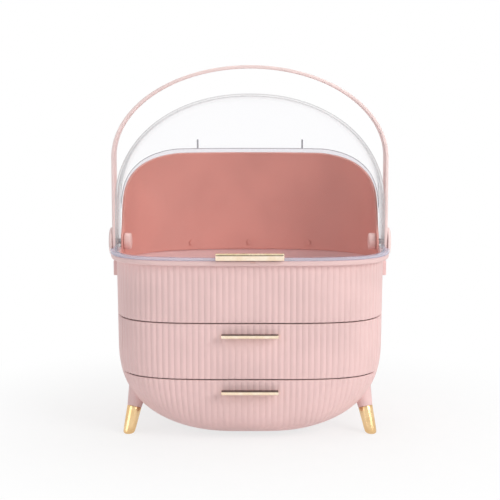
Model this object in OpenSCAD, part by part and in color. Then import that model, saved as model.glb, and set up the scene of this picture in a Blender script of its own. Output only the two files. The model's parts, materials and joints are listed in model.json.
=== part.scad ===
// Makeup storage case: a clear tilting lid over an open tray, two drawers below it and a
// swinging carrying handle. The front faces -Y, +Z is up and the feet stand on z = 0.
// All lengths are in millimetres. Heights are written from the table up.

/* [Case] */
// Width over the ribbed walls, crest to crest
case_w = 285.2; // [276:0.2:292]
// Depth from the hinge axis to the front of the ribbed wall
front_depth = 118; // [112:0.5:124]
// Depth from the hinge axis to the back of the ribbed wall
back_depth = 109; // [106:0.5:113]
// Squareness of the front corners in plan
front_square = 4; // [3.7:0.1:4.3]
// Squareness of the back corners in plan
back_square = 2.5; // [2.3:0.1:2.6]
// Thickness of the moulded walls
wall = 2.6; // [2.2:0.1:3]

/* [Heights] */
// Lowest point of the belly above the table
belly_gap = 4.4; // [3:0.2:8]
// Height of the lower drawer's front above the belly's lowest point
lower_h = 61; // [58:0.5:64]
// Height of the upper drawer's front
upper_h = 57; // [55:0.5:60]
// Height of the tray's wall up to the top of its ledge
tray_h = 64; // [60:0.5:68]
// Gap between the stacked sections
parting = 1; // [0.6:0.1:1.4]
// Height above the belly's lowest point at which the walls begin to curve in
curve_h = 93; // [90:1:96]
// Squareness of the belly's curve seen from the front
side_curve = 2.48; // [2.4:0.02:2.6]
// Squareness of the belly's curve seen from the side
front_curve = 7.2; // [6.6:0.1:8]

/* [Ribs] */
// Width of one rib on the straight walls
rib_pitch = 6.27; // [6:0.01:7]
// Depth of the grooves between the ribs
rib_depth = 0.9; // [0.6:0.1:1]

/* [Ledge] */
// How far the tray's ledge stands out from the wall
ledge_out = 4.9; // [4:0.1:5]
// Height of the ledge
ledge_h = 5.4; // [4.6:0.1:6.4]
// Distance from the hinge axis forward to the ends of the ledge
ledge_end = 17; // [16:0.5:22]
// Half the width of the stop lug under each end of the handle
lug_half = 15; // [12:0.5:16]
// Height of the stop lug
lug_h = 16; // [12:0.5:17]
// Distance from the hinge axis down to the top of the lug
lug_drop = 19.5; // [18.5:0.5:22]

/* [Lid] */
// Height of the clear lid above the ledge
dome_h = 164.8; // [158:0.2:172]
// Height above the ledge up to which the lid's sides rise straight
straight_h = 51.3; // [48:0.1:56]
// Squareness of the lid's outline seen from the front
arch_square = 2.12; // [2:0.02:2.3]
// Squareness of the lid's outline seen from the side
crown_square = 2.3; // [2.1:0.1:2.5]
// Thickness of the clear lid
lid_wall = 2.2; // [1.8:0.1:2.4]
// Thickness of the lid's bottom flange
flange_h = 2.8; // [2:0.1:3.2]
// How far the lid's flange stands out past the lid's wall
flange_out = 5.2; // [4:0.1:5.4]
// Distance from the hinge axis forward to where the flange widens past the handle
flange_wide = 46; // [45:1:52]
// How far the lid's back edge laps over the back shell
lap = 3.5; // [2.5:0.1:5]
// Clearance between the lid and what it closes on
lid_gap = 0.3; // [0.2:0.05:0.5]

/* [Back shell] */
// Height of the shell's level top edge above the hinge axis
shell_h = 91.5; // [88:0.5:94]
// Thickness of the shell
shell_wall = 2.4; // [2:0.1:2.8]
// Clearance between the shell and the lid's inside
shell_gap = 1.4; // [1.2:0.1:1.6]
// Distance from the hinge axis back to the end of the level top edge
edge_run = 79; // [76:0.5:82]
// Height above the hinge axis at which the shell's edge starts to slope back
edge_rise = 19; // [18:0.5:22]
// Depth to which the shell's skirt reaches into the tray, from the hinge axis
skirt = 22; // [18:0.5:26]

/* [Handle] */
// Height of the handle's arch above the hinge axis
handle_h = 190; // [184:1:200]
// Height of the elliptical crown of the arch
crown_h = 99; // [92:1:108]
// Thickness of the strap
strap_t = 3.6; // [3:0.1:4]
// Width of the strap, front to back
strap_w = 26; // [22:0.5:28]
// Clearance between the strap and the case's widest moving edge
strap_gap = 2.2; // [2:0.1:3]

/* [Hinge] */
// Height of the hinge axis above the ledge
hinge_up = 5.1; // [4.9:0.1:5.6]
// Radius of the hinge pins
pin_r = 3; // [2.6:0.1:3.4]
// Radial clearance of a turning or passing part
fit = 0.05; // [0.03:0.01:0.08]
// Radius of the round outer caps
cap_r = 15; // [13:0.5:16]
// Thickness of the outer caps
cap_t = 4.2; // [3.6:0.1:5]
// Radius of the inner nuts
nut_r = 9; // [8:0.5:10]
// Length of the inner nuts
nut_l = 8; // [6:0.1:9]
// Radius of the washers between the lid and the handle
washer_r = 7; // [5:0.5:9]
// Distance the shell's ears reach forward of the hinge axis
ear = 13; // [11:0.5:15]
// Thickness of tray wall left in front of the shell's screws
screw_skin = 1.4; // [1:0.1:1.6]
// Clearance between faces that slide over one another
face_gap = 0.4; // [0.3:0.05:0.5]

/* [Drawers] */
// Depth of the drawer fronts, from the seam with the housing to their foremost point
front_bow = 38; // [34:0.5:42]
// Thickness of the drawer fronts
front_t = 3; // [2.6:0.1:3.6]
// Distance from the case's side in to the upper drawer's tray
upper_side = 26.6; // [25.6:0.2:34.6]
// Distance from the case's side in to the lower drawer's tray
lower_side = 47.6; // [46.6:0.2:54.6]
// Distance from the case's back forward to the end of the upper tray
upper_short = 39; // [35:1:49]
// Distance from the case's back forward to the end of the lower tray
lower_short = 51; // [47:1:59]
// Thickness of the trays' walls
tray_t = 2; // [1.6:0.1:2.4]
// Height of the upper tray's walls
upper_wall = 49; // [44:0.5:50]
// Height of the lower tray's walls
lower_wall = 32.5; // [30:0.5:34]
// Clearance round the drawers where they slide
slide = 0.4; // [0.3:0.05:0.6]
// Thickness of the shelf between the drawers
shelf_t = 2.5; // [2:0.1:3]
// Height of the runners beside the upper tray
runner_h = 10; // [7:0.5:12]
// Width of the runners
runner_w = 4; // [3:0.5:5]
// Distance from the case's back forward to the ends of the runners
runner_short = 63; // [59:1:69]
// Thickness of the lower drawer's rails and flanges
rail_t = 2; // [1.6:0.1:2.4]
// Width of the lower drawer's side flanges
rail_w = 4.6; // [4:0.1:5]
// Radius of the pillars that carry the tray over the shelf
pillar_r = 5; // [4:0.5:5.5]

/* [Pulls] */
// Width of the drawer pulls
pull_w = 58; // [50:1:66]
// Width of the lid's pull
lid_pull_w = 69; // [60:1:78]
// Depth of the pulls, front to back
pull_d = 10; // [8:0.5:12]
// Thickness of the pulls
pull_t = 3.4; // [2.8:0.1:3.8]
// Distance from the top of a drawer's front down to the middle of its pull
pull_drop = 11.5; // [10:0.5:14]
// Height of the lid pull's front lip
lip_h = 5.6; // [5:0.1:7]
// How far the lid pull's plate rises behind its lip
lip_step = 1.8; // [1:0.1:2.4]
// Radius of the small screws
screw_r = 1.5; // [1.2:0.1:1.7]
// Radius of the small screws' heads
head_r = 3; // [2.6:0.1:3.4]
// Height of the small screws' heads
head_h = 1.6; // [1.2:0.1:2]

/* [Legs] */
// Distance from the case's side in to the front feet's centres
front_foot_side = 15.2; // [14:0.1:18]
// Distance from the case's side in to the back feet's centres
back_foot_side = 30.6; // [27:0.1:34]
// Distance from the case's front back to the front feet's centres
front_foot_in = 38; // [36:0.5:41]
// Distance from the case's back forward to the back feet's centres
back_foot_in = 35; // [33:0.5:41]
// How far a leg leans across over its height
lean_x = 0.21; // [0.19:0.005:0.23]
// How far a leg leans front to back over its height
lean_y = 0.28; // [0.26:0.005:0.3]
// Height of the metal foot tips
tip_h = 29.5; // [26:0.5:31]
// Radius of the foot tips at the bottom
tip_r = 6; // [5.6:0.1:6.4]
// Radius of the legs where they meet the tips
leg_r = 7.7; // [7.2:0.1:8]
// Height at which the legs have flared into the belly
flare_z = 50; // [46:0.5:54]
// Radius of the legs at that height
flare_r = 10.6; // [9.8:0.1:11.4]
// Radius of the housing's spigots, which the legs fit over
spigot_r = 5; // [4.4:0.1:5.4]
// Height at which the spigots begin
spigot_z = 33; // [32:0.5:35]
// Length of the spigots
spigot_l = 16; // [14:0.5:18]

/* [Hidden] */

pink = [0.91, 0.77, 0.75];
deep_pink = [0.82, 0.63, 0.60];
strap_pink = [0.86, 0.79, 0.79];
gold = [0.93, 0.77, 0.54];
steel = [0.75, 0.75, 0.77];
clear = [0.93, 0.95, 1, 0.35];

// Heights
curve_z = belly_gap + curve_h;
lower_top = belly_gap + lower_h;
upper_z = lower_top + parting;
upper_top = upper_z + upper_h;
tray_z = upper_top + parting;
rim_z = tray_z + tray_h;
axis_z = rim_z + hinge_up;
shelf_z = lower_top + parting / 2 - shelf_t / 2;
shelf_top = shelf_z + shelf_t;

// Places across the width, from the inside of the hinge to its outside
half_w = case_w / 2;
lid_out = 0.4;
shell_out = lid_wall + shell_gap;
shell_in = shell_out + shell_wall;
lid_half = half_w + lid_out;
strap_in = lid_half + strap_gap;
strap_out = strap_in + strap_t;
cap_x = strap_out + face_gap;
cap_end = cap_x + cap_t;
nut_x = lid_half - shell_in - face_gap;

// The depth of the case, and what centres it front to back
front_end = front_depth + lid_out + pull_d;
back_end = back_depth + lid_out;
case_y = (front_end - back_end) / 2;

// Seams, drawer trays and their carriers
seam = front_depth - front_bow;
upper_half = half_w - upper_side;
lower_half = half_w - lower_side;
upper_back = back_depth - upper_short;
lower_back = back_depth - lower_short;
runner_back = back_depth - runner_short;
seam_gap = 0.6;
belly_cut = 1.6;
floor_min = 12;
floor_part = 0.8;
shelf_gap = 0.4;
seat = 0.3;
shelf_clear = 4.5;
runner_stop = 4;
rail_stop = 10;
tray_back_in = 8;
upper_tray_z = shelf_top + slide;
lower_tray_z = shelf_z - shelf_clear - lower_wall;
pillar_wall_gap = 7;
pillar_x = half_w - wall - pillar_r - pillar_wall_gap;
pillar_in = 20;
pillar_front = pillar_in - seam;
pillar_back = runner_back - pillar_in;
pillar_grip = 17;

// Feet, and what the screws keep clear of
foot_x = half_w - front_foot_side;
foot_back_x = half_w - back_foot_side;
foot_y = front_depth - front_foot_in;
foot_back = back_depth - back_foot_in;
leg_gap = 0.4;
screw_low = 12;
foot_taper = 0.3;
pull_grip = 6;
tip_gap = 0.2;
head_gap = 0.2;
end_skin = 1;
lug_d = 10;
upper_pull_z = upper_top - pull_drop;
lower_pull_z = lower_top - pull_drop;
flange_z = rim_z + lid_gap;

// How finely curves and ribs are drawn
rib_pts = 2;
tray_pts = 4;
arc_steps = 60;
loop_step = 5;
$fn = 48;

// Plan of the case: a squared oval, squarer at the front. A section is [half-width, front, back].
// A bearing of 0 is the front, 90 is +X and 180 is the back.
function plan_pt(section, bearing, inset = 0) =
    let (s = sin(bearing), c = cos(bearing),
         power = c > 0 ? front_square : back_square,
         depth = c > 0 ? section[1] : section[2],
         reach = pow(pow(abs(s) / section[0], power) + pow(abs(c) / depth, power), -1 / power),
         out_x = sign(s) * pow(reach * abs(s) / section[0], power - 1) / section[0],
         out_y = -sign(c) * pow(reach * abs(c) / depth, power - 1) / depth)
    [reach * s, -reach * c] - inset * [out_x, out_y] / norm([out_x, out_y]);

// Direction, from +X, in which the plan faces at a bearing
function plan_turn(section, bearing) =
    let (d = plan_pt(section, bearing) - plan_pt(section, bearing, 1)) atan2(d[1], d[0]);

function plan_loop(section) = [for (b = [0 : loop_step : 360 - loop_step]) plan_pt(section, b)];

function grown(section, by) = [for (v = section) v + by];

// The belly's section at a height, on a surface that lies t inside the outer one
function curved(z, t, power) =
    let (q = max(0, (curve_z - z) / (curve_h - t)))
    q >= 1 ? 0 : pow(1 - pow(q, power), 1 / power);
function belly(z, t = 0) = [
    (half_w - t) * curved(z, t, side_curve),
    (front_depth - t) * curved(z, t, front_curve),
    (back_depth - t) * curved(z, t, front_curve)
];

// Where a section crosses the plane of the seam, across and as a bearing from the front
function seam_x(section, y) =
    section[1] <= y ? 0 : section[0] * pow(1 - pow(y / section[1], front_square), 1 / front_square);
function seam_bearing(section, y) = atan2(seam_x(section, y), y);

// Running length along the plan from a middle bearing to one side, as [length, bearing] pairs
function arc_table(section, middle, half) =
    let (step = half / arc_steps)
    [for (i = 0, s = 0; i <= arc_steps;
          s = s + norm(plan_pt(section, middle + (i + 1) * step) - plan_pt(section, middle + i * step)),
          i = i + 1) [s, i * step]];
function arc_length(section, middle, half) = arc_table(section, middle, half)[arc_steps][0];

// A ribbed stretch of the plan, with per points a rib and grooves of the given depth. On smaller
// sections the middle ribs keep their pitch as long as they can and the outer ones draw together,
// which sweeps them in under the belly. The grooves get shallower as the ribs get narrower.
function rib_arc(section, middle, half, count, full, per, depth, end_depth = 0) =
    let (table = arc_table(section, middle, half),
         length = table[arc_steps][0],
         keep = min(full / length, 1.5),
         shrink = min(1, length / full),
         last = count * per)
    [for (j = [0 : last])
        let (t = 2 * j / last - 1,
             s = length * t * (keep + (1 - keep) * t * t),
             bearing = middle + sign(s) * lookup(abs(s), table),
             end = j == 0 || j == last,
             groove = end ? end_depth : depth * shrink * (1 - sin(180 * (j % per) / per)))
        plan_pt(section, bearing, groove)];

function reversed(list) = [for (i = [len(list) - 1 : -1 : 0]) list[i]];
function raised(loop, z) = [for (p = loop) [p[0], p[1], z]];

// The two ribbed stretches of the straight walls, either side of the seam
whole = belly(curve_z);
front_half = seam_bearing(whole, seam);
back_half = 180 - seam_bearing(whole, seam - seam_gap);
front_length = arc_length(whole, 0, front_half);
back_length = arc_length(whole, 180, back_half);
front_ribs = round(2 * front_length / rib_pitch);
back_ribs = round(2 * back_length / rib_pitch);

// A closed loop of a curved wall at one height: ribbed outside, then plain inside the other way
// round. Below the floor the inside closes onto the plane of the seam, so the wall turns solid.
function wall_loop(z, t, y, middle) =
    let (out = belly(z), in = belly(z, t),
         front = middle == 0,
         count = front ? front_ribs : back_ribs,
         full = front ? front_length : back_length,
         turn = front ? 0 : 180,
         half = abs(turn - seam_bearing(out, y)),
         in_half = abs(turn - seam_bearing(in, y)),
         floor_x = seam_x(out, y) * (front ? floor_part : -floor_part),
         ribs = rib_arc(out, middle, half, count, full, rib_pts, rib_depth),
         plain = seam_x(in, y) > floor_min
             ? rib_arc(in, middle, in_half, count, full, 1, 0)
             : [for (j = [0 : count]) [(2 * j / count - 1) * floor_x, -y]])
    raised(concat(ribs, reversed(plain)), z);

// Heights of the loops between two levels, closer together where the belly turns under
function levels(low, high, count) =
    let (a = asin((curve_z - low) / curve_h), b = asin(max(0, (curve_z - high) / curve_h)))
    [for (i = [0 : count]) i == count ? high : curve_z - curve_h * sin(a + (b - a) * i / count)];

// A wall from its loops, each with rib_pts points outside to one inside
module wall_skin(loops, count) {
    n = len(loops[0]);
    m = len(loops);
    sides = [for (i = [0 : m - 2], j = [0 : n - 1])
        let (a = i * n + j, b = i * n + (j + 1) % n)
        each [[a, a + n, b + n], [a, b + n, b]]];
    cap = [for (k = [0 : count - 1])
        let (o = k * rib_pts, in = n - 1 - k, half = rib_pts / 2)
        each concat([for (j = [0 : half - 1]) [o + j, o + j + 1, in]],
                    [[o + half, in - 1, in]],
                    [for (j = [half : rib_pts - 1]) [o + j, o + j + 1, in - 1]])];
    top = [for (f = cap) [for (i = reversed(f)) i + (m - 1) * n]];
    polyhedron(points = [for (loop = loops) each loop], faces = concat(cap, top, sides));
}

// The dome of the lid and the back shell. Its section at a height, on a surface t inside the lid.
function arched(h, power) = h >= 1 ? 0 : pow(1 - pow(max(0, h), power), 1 / power);
function dome(z, t) =
    let (rise = (z - rim_z) / (dome_h - t),
         arch = (z - rim_z - straight_h) / (dome_h - straight_h - t))
    [(lid_half - t) * arched(arch, arch_square),
     (front_depth + lid_out - t) * arched(rise, crown_square),
     (back_depth + lid_out - t) * arched(rise, crown_square)];

dome_rings = 14;
dome_end = 87;
function dome_levels(low, t) = concat(low < rim_z ? [low] : [],
    [for (i = [0 : dome_rings]) max(low, rim_z) + (dome_h - t - max(0, low - rim_z))
        * sin(dome_end * i / dome_rings)]);

// A thin dome between two offsets, open at the bottom
module dome_shell(t_out, t_in, low) {
    outer = [for (z = dome_levels(low, t_out)) raised(plan_loop(dome(z, t_out)), z)];
    inner = [for (z = dome_levels(low, t_in)) raised(plan_loop(dome(z, t_in)), z)];
    n = len(outer[0]);
    m = len(outer);
    outside = [for (i = [0 : m - 2], j = [0 : n - 1])
        let (a = i * n + j, b = i * n + (j + 1) % n)
        each [[a, a + n, b + n], [a, b + n, b]]];
    inside = [for (f = outside) [f[0] + m * n, f[2] + m * n, f[1] + m * n]];
    edge = [for (j = [0 : n - 1])
        let (a = j, b = (j + 1) % n)
        each [[a, b, b + m * n], [a, b + m * n, a + m * n]]];
    outer_top = [for (j = [n - 1 : -1 : 0]) (m - 1) * n + j];
    inner_top = [for (j = [0 : n - 1]) (2 * m - 1) * n + j];
    polyhedron(points = [for (loop = concat(outer, inner)) each loop],
               faces = concat(outside, inside, edge, [outer_top, inner_top]));
}

// The sloping edge of the back shell seen from the side: [back, up] from the hinge axis
edge_round = 1.43;
edge_steps = 12;
function edge_pt(t) = [edge_run * t,
    edge_rise + (shell_h - edge_rise) * pow(1 - pow(1 - t, edge_round), 1 / edge_round)];
edge_curve = [for (i = [0 : edge_steps]) edge_pt(i / edge_steps)];

// Puts a side view, drawn as [back, up] from the hinge axis, across the whole case
module across(width) {
    translate([0, 0, axis_z]) rotate([90, 0, 90]) linear_extrude(width, center = true) children();
}

// Lays a part's long axis along X, from x outward on the side it is called for
module outward(side, x) {
    translate([side * x, 0, axis_z]) rotate([0, side * 90, 0]) children();
}

// Everything is drawn with the hinge axis at y = 0 and then centred on the case's depth
module placed() { translate([0, case_y, 0]) children(); }

// ---- Housing ----
module leg_line(corner) {
    // Stands children on the leaning axis of a leg, with z measured along it from the floor
    side = corner[0];
    back = corner[1];
    lean = [-side * lean_x, -back * lean_y, 1];
    translate([side * (back < 0 ? foot_x : foot_back_x), back < 0 ? -foot_y : foot_back, 0])
        rotate([0, acos(1 / norm(lean)), atan2(lean[1], lean[0])]) children();
}
lean_len = norm([lean_x, lean_y, 1]);
CORNERS = [[-1, -1], [1, -1], [-1, 1], [1, 1]];

module lower_housing() color(pink) placed() difference() {
    union() {
        wall_skin([for (z = levels(belly_gap + belly_cut, upper_top, 10))
            wall_loop(z, wall, seam - seam_gap, 180)], back_ribs);
        for (corner = CORNERS) leg_line(corner)
            translate([0, 0, spigot_z * lean_len]) cylinder(h = spigot_l, r = spigot_r);
    }
    for (corner = CORNERS) leg_line(corner) cylinder(h = case_w, r = screw_r + fit);
}

module shelf_outline(inset) {
    intersection() {
        polygon(plan_loop(grown(belly(shelf_z, wall), -inset)));
        translate([-half_w, -seam + seam_gap + shelf_gap])
            square([case_w, seam + back_depth]);
    }
}

module pillar_places() {
    for (x = [-pillar_x, pillar_x], y = [pillar_front, pillar_back]) translate([x, y, 0]) children();
}

module middle_shelf() color(deep_pink) placed() difference() {
    translate([0, 0, shelf_z]) linear_extrude(shelf_t) shelf_outline(shelf_gap);
    pillar_places() translate([0, 0, shelf_z - shelf_t]) cylinder(h = 3 * shelf_t, r = screw_r + fit);
}

module upper_runners() color(deep_pink) placed() {
    length = runner_back + seam - runner_stop;
    for (side = [-1, 1])
        translate([side * (upper_half + slide + runner_w / 2), runner_back - length / 2,
                   shelf_top + runner_h / 2])
            cube([runner_w, length, runner_h], center = true);
}

module lower_rails() color(deep_pink) placed() {
    length = lower_back + seam - runner_stop;
    flange_under = lower_tray_z + lower_wall - rail_t - slide;
    for (side = [-1, 1]) translate([side * lower_half, lower_back - length, 0]) {
        translate([side > 0 ? rail_w + slide : -rail_w - slide - rail_t, 0, flange_under - rail_t])
            cube([rail_t, length, shelf_z - flange_under + rail_t]);
        translate([side > 0 ? slide : -rail_w - slide - rail_t, 0, flange_under - rail_t])
            cube([rail_w + rail_t, length, rail_t]);
    }
}

// ---- Tray ----
module tray_outline() {
    front = rib_arc(whole, 0, front_half, front_ribs, front_length, tray_pts, rib_depth, rib_depth);
    back = rib_arc(whole, 180, back_half, back_ribs, back_length, tray_pts, rib_depth, rib_depth);
    polygon(concat(front, [for (i = [1 : len(back) - 2]) back[i]]));
}

module ledge_outline() {
    intersection() {
        polygon(plan_loop(grown(whole, ledge_out)));
        translate([-case_w, -case_w]) square([2 * case_w, case_w - ledge_end]);
    }
}

module top_tray() color(pink) placed() difference() {
    union() {
        translate([0, 0, tray_z]) linear_extrude(tray_h) tray_outline();
        translate([0, 0, rim_z - ledge_h]) linear_extrude(ledge_h) ledge_outline();
        for (side = [-1, 1])
            translate([side * (half_w + ledge_out - lug_d / 2), 0, axis_z - lug_drop - lug_h / 2])
                cube([lug_d, 2 * lug_half, lug_h], center = true);
        pillar_places() translate([0, 0, shelf_top])
            cylinder(h = tray_z - shelf_top + wall / 2, r = pillar_r);
    }
    translate([0, 0, tray_z + wall]) linear_extrude(tray_h) polygon(plan_loop(grown(whole, -wall)));
    pillar_places() translate([0, 0, shelf_z])
        cylinder(h = shelf_t + pillar_grip + tip_gap, r = screw_r + fit);
    shell_screw_places() translate([0, 0, -shell_in])
        cylinder(h = shell_in + shell_screw_l + tip_gap, r = screw_r + fit);
}

module tray_screws() color(steel) placed() pillar_places() {
    translate([0, 0, shelf_z - head_h]) cylinder(h = head_h, r = head_r);
    translate([0, 0, shelf_z - head_h]) cylinder(h = head_h + shelf_t + pillar_grip, r = screw_r);
}

// ---- Back shell ----
SHELL_SCREWS = [145, 180, 215];
shell_screw_z = (rim_z + axis_z - skirt) / 2;
shell_screw_l = shell_in - lid_out - screw_skin;

// Stands children on the skirt's inner face, pointing out through it
module shell_screw_places() {
    for (bearing = SHELL_SCREWS) {
        inside = dome(rim_z, shell_in);
        foot = plan_pt(inside, bearing);
        translate([foot[0], foot[1], shell_screw_z])
            rotate([0, 90, plan_turn(inside, bearing)]) children();
    }
}

module back_shell() color(deep_pink) placed() difference() {
    intersection() {
        dome_shell(shell_out, shell_in, axis_z - skirt);
        across(2 * case_w) polygon(concat(
            [[-ear, -skirt - 1], [-ear, edge_rise - ear]],
            edge_curve,
            [[case_w, shell_h], [case_w, -skirt - 1]]));
    }
    for (side = [-1, 1]) outward(side, 0) cylinder(h = case_w, r = pin_r + fit);
    shell_screw_places() cylinder(h = 2 * shell_in, r = screw_r + fit, center = true);
}

module shell_screws() color(steel) placed() shell_screw_places() {
    translate([0, 0, -head_h - head_gap]) cylinder(h = head_h, r = head_r);
    translate([0, 0, -head_h]) cylinder(h = head_h + shell_screw_l, r = screw_r);
}

// ---- Legs and feet ----
// The belly's solid form round the legs, a little outside its ribs
module belly_core() {
    low = tip_h - leg_r;
    step = flare_z / 6;
    loops = [for (z = [low : step : flare_z + step]) raised(plan_loop(belly(z, -leg_gap)), z)];
    n = len(loops[0]);
    m = len(loops);
    sides = [for (i = [0 : m - 2], j = [0 : n - 1])
        let (a = i * n + j, b = i * n + (j + 1) % n)
        each [[a, a + n, b + n], [a, b + n, b]]];
    ends = [for (j = [0 : n - 1])
        let (k = (j + 1) % n)
        each [[j, k, n * m], [(m - 1) * n + k, (m - 1) * n + j, n * m + 1]]];
    polyhedron(points = concat([for (loop = loops) each loop], [[0, 0, low], [0, 0, loops[m - 1][0][2]]]),
               faces = concat(sides, ends));
}

module leg(corner) color(pink) placed() difference() {
    leg_line(corner) translate([0, 0, tip_h * lean_len])
        cylinder(h = (flare_z - tip_h) * lean_len, r1 = leg_r, r2 = flare_r);
    belly_core();
    leg_line(corner) translate([0, 0, spigot_z * lean_len - fit])
        cylinder(h = spigot_l, r = spigot_r + fit);
    leg_line(corner) cylinder(h = 2 * flare_z, r = screw_r + fit);
}

module foot(corner) color(gold) placed() difference() {
    leg_line(corner) rotate([0, 0, 90]) translate([0, 0, -tip_r])
        cylinder(h = tip_h * lean_len + tip_r, r1 = tip_r - foot_taper, r2 = leg_r);
    translate([-case_w, -case_w, -tip_h]) cube([2 * case_w, 2 * case_w, tip_h]);
    leg_line(corner) translate([0, 0, screw_low]) cylinder(h = 2 * tip_h, r = screw_r + fit);
}

module leg_screws() color(steel) placed() for (corner = CORNERS) leg_line(corner) {
    top = spigot_z * lean_len + spigot_l;
    translate([0, 0, screw_low + tip_gap]) cylinder(h = top - screw_low, r = screw_r);
    translate([0, 0, top]) cylinder(h = head_h, r = head_r);
}

// ---- Hinge ----
module pivot_pin(side) color(steel) placed()
    outward(side, nut_x - nut_l + end_skin)
        cylinder(h = cap_end - nut_x + nut_l - 2 * end_skin, r = pin_r);

module pivot_nut(side) color(deep_pink) placed() outward(side, nut_x - nut_l) difference() {
    cylinder(h = nut_l, r = nut_r);
    translate([0, 0, end_skin - fit]) cylinder(h = nut_l, r = pin_r + fit);
}

module pivot_cap(side) color(strap_pink) placed() outward(side, cap_x) difference() {
    cylinder(h = cap_t, r = cap_r);
    translate([0, 0, -end_skin]) cylinder(h = cap_t + fit, r = pin_r + fit);
}

// ---- Lid ----
module flange_outline() {
    edge = dome(rim_z, 0);
    difference() {
        intersection() {
            polygon(plan_loop(grown(edge, flange_out)));
            union() {
                translate([-case_w, -case_w]) square([2 * case_w, case_w - flange_wide]);
                translate([-strap_in + seat, -case_w]) square([2 * (strap_in - seat), case_w - hinge_up]);
            }
        }
        polygon(plan_loop(edge));
    }
}

module clear_lid() color(clear) placed() difference() {
    intersection() {
        dome_shell(0, lid_wall, flange_z);
        across(2 * case_w) polygon(concat(
            [[-case_w, -hinge_up], [0, lid_gap - hinge_up]],
            [for (a = [-80 : 10 : 0]) (hinge_up - lid_gap) * [cos(a), sin(a)]],
            [for (p = edge_curve) p + [lap, -lap]],
            [[case_w, shell_h - lap], [case_w, dome_h], [-case_w, dome_h]]));
    }
    for (side = [-1, 1]) outward(side, 0) cylinder(h = case_w, r = pin_r + fit);
    lid_screw_places() cylinder(h = head_h + fit, r = head_r + seat);
}

// The flange is bonded round the foot of the lid's wall and leaves room for the washers
module lid_flange() color(clear) placed() difference() {
    translate([0, 0, flange_z]) linear_extrude(flange_h) flange_outline();
    for (side = [-1, 1]) outward(side, 0) cylinder(h = case_w, r = washer_r + face_gap);
    lid_screw_places() cylinder(h = 2 * flange_h, r = screw_r + fit);
    lid_screw_places() cylinder(h = head_h, r = head_r + fit);
}

lid_pull_y = front_depth + lid_out;
module lid_screw_places() {
    for (side = [-1, 1])
        translate([side * lid_pull_w / 3, -lid_pull_y - flange_out / 2, flange_z]) children();
}

module lid_pull() color(gold) placed() difference() {
    union() {
        translate([-lid_pull_w / 2, -lid_pull_y - flange_out - seat, flange_z + flange_h])
            cube([lid_pull_w, flange_out, pull_t + lip_step]);
        translate([-lid_pull_w / 2, -lid_pull_y - pull_d, flange_z + flange_h + pull_t - lip_h])
            cube([lid_pull_w, pull_d - flange_out - seat, lip_h]);
    }
    lid_screw_places() cylinder(h = flange_h + pull_t - end_skin, r = screw_r + fit);
    lid_screw_places() cylinder(h = head_h, r = head_r + fit);
}

module lid_pull_screws() color(steel) placed() lid_screw_places() {
    cylinder(h = head_h, r = head_r);
    cylinder(h = flange_h + pull_t - end_skin - tip_gap, r = screw_r);
}

// ---- Handle ----
function arch(x, crown) = [for (a = [0 : 5 : 180]) [x * cos(a), handle_h - crown_h + crown * sin(a)]];
module carry_handle() color(strap_pink) placed() difference() {
    union() {
        translate([0, 0, axis_z]) rotate([90, 0, 0]) linear_extrude(strap_w, center = true)
            polygon(concat([[strap_out, 0]], arch(strap_out, crown_h), [[-strap_out, 0], [-strap_in, 0]],
                           reversed(arch(strap_in, crown_h - strap_t)), [[strap_in, 0]]));
        for (side = [-1, 1]) outward(side, strap_in) cylinder(h = strap_t, r = strap_w / 2);
    }
    for (side = [-1, 1]) outward(side, lid_half) cylinder(h = case_w, r = pin_r + fit);
}

module handle_washer(side) color(steel) placed() outward(side, lid_half + face_gap) difference() {
    cylinder(h = strap_gap - 2 * face_gap, r = washer_r);
    translate([0, 0, -strap_gap]) cylinder(h = 3 * strap_gap, r = pin_r + fit);
}

// ---- Drawers ----
module front_wall(low, high, count) color(pink) placed()
    difference() {
        wall_skin([for (z = levels(low, high, count)) wall_loop(z, front_t, seam, 0)], front_ribs);
        children();
    }

module pull_screw_places(z) {
    for (side = [-1, 1]) translate([side * pull_w / 3, 0, z]) rotate([90, 0, 0]) children();
}

module upper_front() front_wall(upper_z, upper_top, 5)
    pull_screw_places(upper_pull_z) cylinder(h = case_w, r = screw_r + fit);

module lower_front() front_wall(belly_gap + belly_cut, lower_top, 10)
    pull_screw_places(lower_pull_z) cylinder(h = case_w, r = screw_r + fit);

module tray_plan(half, front, back, stop) {
    intersection() {
        polygon(plan_loop([half, front, back]));
        translate([-case_w, -case_w]) square([2 * case_w, case_w + stop]);
    }
}

// An open box with a flat floor
module box_tray(z, height, half, front, back, stop) {
    difference() {
        translate([0, 0, z]) linear_extrude(height) tray_plan(half, front, back, stop);
        translate([0, 0, z + tray_t]) linear_extrude(height)
            tray_plan(half - tray_t, front - tray_t, back - tray_t, stop - tray_t);
    }
}

lower_slide = lower_back + seam - rail_stop;
upper_inner = belly(upper_tray_z, front_t);
lower_inner = belly(lower_tray_z, front_t);

module upper_drawer_tray() color(deep_pink) placed() difference() {
    box_tray(upper_tray_z, upper_wall, upper_half, upper_inner[1] - seat,
             upper_inner[2] - tray_back_in, upper_back);
    pull_screw_places(upper_pull_z) cylinder(h = case_w, r = screw_r + fit);
}

module lower_drawer_tray() color(deep_pink) placed() difference() {
    union() {
        box_tray(lower_tray_z, lower_wall, lower_half, lower_inner[1] - seat,
                 lower_inner[2] - tray_back_in, lower_back);
        for (side = [-1, 1])
            translate([side * (lower_half + (rail_w - tray_t) / 2), lower_back - lower_slide / 2,
                       lower_tray_z + lower_wall - rail_t / 2])
                cube([rail_w + tray_t, lower_slide, rail_t], center = true);
    }
    pull_screw_places(lower_pull_z) cylinder(h = case_w, r = screw_r + fit);
}

module drawer_pull(z) color(gold) placed() difference() {
    translate([-pull_w / 2, -front_depth - pull_d, z - pull_t / 2]) cube([pull_w, pull_d - seat, pull_t]);
    pull_screw_places(z) cylinder(h = front_depth + pull_grip, r = screw_r / 2 + fit);
}

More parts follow.
